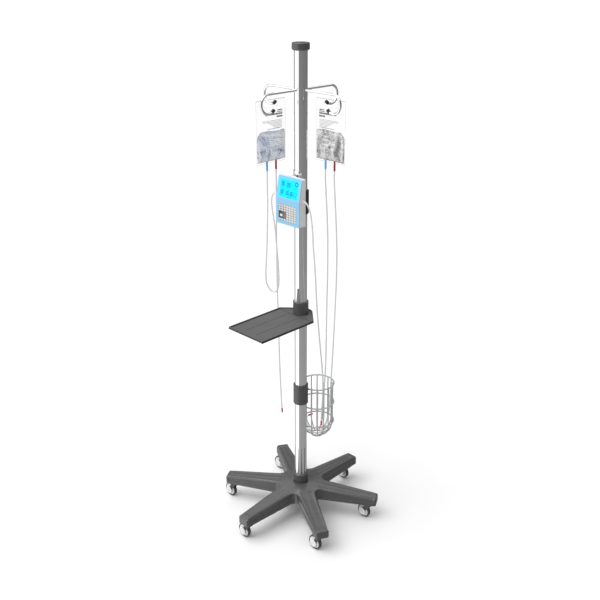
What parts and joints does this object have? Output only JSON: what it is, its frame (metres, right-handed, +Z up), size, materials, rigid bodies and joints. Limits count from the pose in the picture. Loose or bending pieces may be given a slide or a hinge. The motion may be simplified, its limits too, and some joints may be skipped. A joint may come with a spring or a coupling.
{
  "type": "iv pole with pump",
  "caption": "Wheeled infusion stand: a chrome pole with bag hooks, fluid bags and tubing, an infusion pump, a swivelling tray and a wire basket on a six-leg caster base.",
  "frame": {"origin": "on the floor, on the pole's axis", "axes": "+Z up along the pole; -Y is the front, which the pump's display and the tray face; +X to the right seen from the front"},
  "size_m": [0.6326, 0.684, 2],
  "materials": {
    "charcoal_plastic": "fine moulded texture",
    "black_plastic": "satin",
    "pole_chrome": "mirror polished",
    "hook_chrome": "bright plated rod",
    "zinc_steel": "zinc plated",
    "tip_rubber": "matt",
    "bag_film": "flexible clear film, filled with fluid",
    "port_plastic": "coloured port sleeves, two blue and two red",
    "tubing": "clear flexible tubing",
    "cap_red": "gloss",
    "basket_wire": "light grey powder coat",
    "bush_white": "slippery plastic",
    "knob_black": "satin",
    "face_blue": "smooth",
    "shell_cream": "smooth",
    "lcd": "lit display window",
    "key_panel": "dark panel with raised white key domes",
    "key_grey": "smooth",
    "key_white": "smooth",
    "board_green": "circuit board",
    "cell_blue": "sleeve",
    "motor_steel": "satin",
    "rotor_plastic": "smooth",
    "hub_white": "smooth",
    "tyre_grey": "soft tread",
    "fork_black": "satin"
  },
  "bodies": {
    "stand": {"base_moulding": "charcoal_plastic", "pole_collar": "black_plastic", "pole_tube": "pole_chrome", "top_cap": "charcoal_plastic", "pole_plug": "zinc_steel", "base_bolt": "zinc_steel", "hook_block": "zinc_steel", "hook_arms": "hook_chrome", "hook_tips": "tip_rubber", "left_bag": "bag_film", "right_bag": "bag_film", "bag_ports": "port_plastic", "pump_inlet_line": "tubing", "left_drip_line": "tubing", "right_blue_line": "tubing", "right_red_line": "tubing", "pump_outlet_line": "tubing", "line_caps": "cap_red", "basket_clamp": "charcoal_plastic", "basket_rings": "basket_wire", "basket_uprights": "basket_wire", "basket_bowl": "basket_wire", "basket_screw": "zinc_steel", "pump_face": "face_blue", "pump_shell": "shell_cream", "pump_back_cover": "shell_cream", "display_panel": "lcd", "keypad": "key_panel", "pump_clamp": "black_plastic", "pump_bracket": "hook_chrome", "main_board": "board_green", "battery": "cell_blue", "drive_motor": "motor_steel", "pump_segment": "tubing"},
    "tray_bush": {"tray_bush": "bush_white"},
    "tray": {"tray_collar": "charcoal_plastic", "tray_plate": "charcoal_plastic"},
    "tray_knob": {"tray_knob": "knob_black"},
    "pump_knob": {"pump_knob": "knob_black"},
    "stop_key": {"stop_key": "key_grey"},
    "start_key": {"start_key": "key_white"},
    "pump_rotor": {"pump_rotor": "rotor_plastic"},
    "caster_1": {"fork_1": "fork_black"},
    "wheel_1": {"hub_1": "hub_white", "tyre_1": "tyre_grey"},
    "caster_2": {"fork_2": "fork_black"},
    "wheel_2": {"hub_2": "hub_white", "tyre_2": "tyre_grey"},
    "caster_3": {"fork_3": "fork_black"},
    "wheel_3": {"hub_3": "hub_white", "tyre_3": "tyre_grey"},
    "caster_4": {"fork_4": "fork_black"},
    "wheel_4": {"hub_4": "hub_white", "tyre_4": "tyre_grey"},
    "caster_5": {"fork_5": "fork_black"},
    "wheel_5": {"hub_5": "hub_white", "tyre_5": "tyre_grey"},
    "caster_6": {"fork_6": "fork_black"},
    "wheel_6": {"hub_6": "hub_white", "tyre_6": "tyre_grey"}
  },
  "joints": [
    {"name": "tray_height", "type": "slide", "parent": "stand", "child": "tray_bush", "axis": [0, 0, 1], "range_m": [-0.25, 0.04]},
    {"name": "tray_swivel", "type": "hinge", "parent": "tray_bush", "child": "tray", "pos_m": [0, 0, 0.95], "axis": [0, 0, 1], "range_deg": [-50, 10]},
    {"name": "tray_knob_turn", "type": "hinge", "parent": "tray", "child": "tray_knob", "pos_m": [-0.03535, 0.03535, 0.974], "axis": [-0.7071, 0.7071, 0], "continuous": true},
    {"name": "pump_knob_turn", "type": "hinge", "parent": "stand", "child": "pump_knob", "pos_m": [-0.03535, 0.03535, 1.412], "axis": [-0.7071, 0.7071, 0], "continuous": true},
    {"name": "stop_press", "type": "slide", "parent": "stand", "child": "stop_key", "axis": [0, 1, 0], "range_m": [0, 0.0012], "stiffness_N_per_m": 600, "springref_m": -0.0005},
    {"name": "start_press", "type": "slide", "parent": "stand", "child": "start_key", "axis": [0, 1, 0], "range_m": [0, 0.0012], "stiffness_N_per_m": 600, "springref_m": -0.0005},
    {"name": "rotor_spin", "type": "hinge", "parent": "stand", "child": "pump_rotor", "pos_m": [0, -0.05, 1.4037], "axis": [0, 1, 0], "continuous": true},
    {"name": "caster_swivel_1", "type": "hinge", "parent": "stand", "child": "caster_1", "pos_m": [0, 0.308, 0.08], "axis": [0, 0, 1], "continuous": true},
    {"name": "wheel_spin_1", "type": "hinge", "parent": "caster_1", "child": "wheel_1", "pos_m": [-0.027, 0.308, 0.0315], "axis": [0, 1, 0], "continuous": true},
    {"name": "caster_swivel_2", "type": "hinge", "parent": "stand", "child": "caster_2", "pos_m": [-0.26674, 0.154, 0.08], "axis": [0, 0, 1], "continuous": true},
    {"name": "wheel_spin_2", "type": "hinge", "parent": "caster_2", "child": "wheel_2", "pos_m": [-0.29374, 0.154, 0.0315], "axis": [0, 1, 0], "continuous": true},
    {"name": "caster_swivel_3", "type": "hinge", "parent": "stand", "child": "caster_3", "pos_m": [-0.26674, -0.154, 0.08], "axis": [0, 0, 1], "continuous": true},
    {"name": "wheel_spin_3", "type": "hinge", "parent": "caster_3", "child": "wheel_3", "pos_m": [-0.29374, -0.154, 0.0315], "axis": [0, 1, 0], "continuous": true},
    {"name": "caster_swivel_4", "type": "hinge", "parent": "stand", "child": "caster_4", "pos_m": [0, -0.308, 0.08], "axis": [0, 0, 1], "continuous": true},
    {"name": "wheel_spin_4", "type": "hinge", "parent": "caster_4", "child": "wheel_4", "pos_m": [-0.027, -0.308, 0.0315], "axis": [0, 1, 0], "continuous": true},
    {"name": "caster_swivel_5", "type": "hinge", "parent": "stand", "child": "caster_5", "pos_m": [0.26674, -0.154, 0.08], "axis": [0, 0, 1], "continuous": true},
    {"name": "wheel_spin_5", "type": "hinge", "parent": "caster_5", "child": "wheel_5", "pos_m": [0.23974, -0.154, 0.0315], "axis": [0, 1, 0], "continuous": true},
    {"name": "caster_swivel_6", "type": "hinge", "parent": "stand", "child": "caster_6", "pos_m": [0.26674, 0.154, 0.08], "axis": [0, 0, 1], "continuous": true},
    {"name": "wheel_spin_6", "type": "hinge", "parent": "caster_6", "child": "wheel_6", "pos_m": [0.23974, 0.154, 0.0315], "axis": [0, 1, 0], "continuous": true}
  ]
}
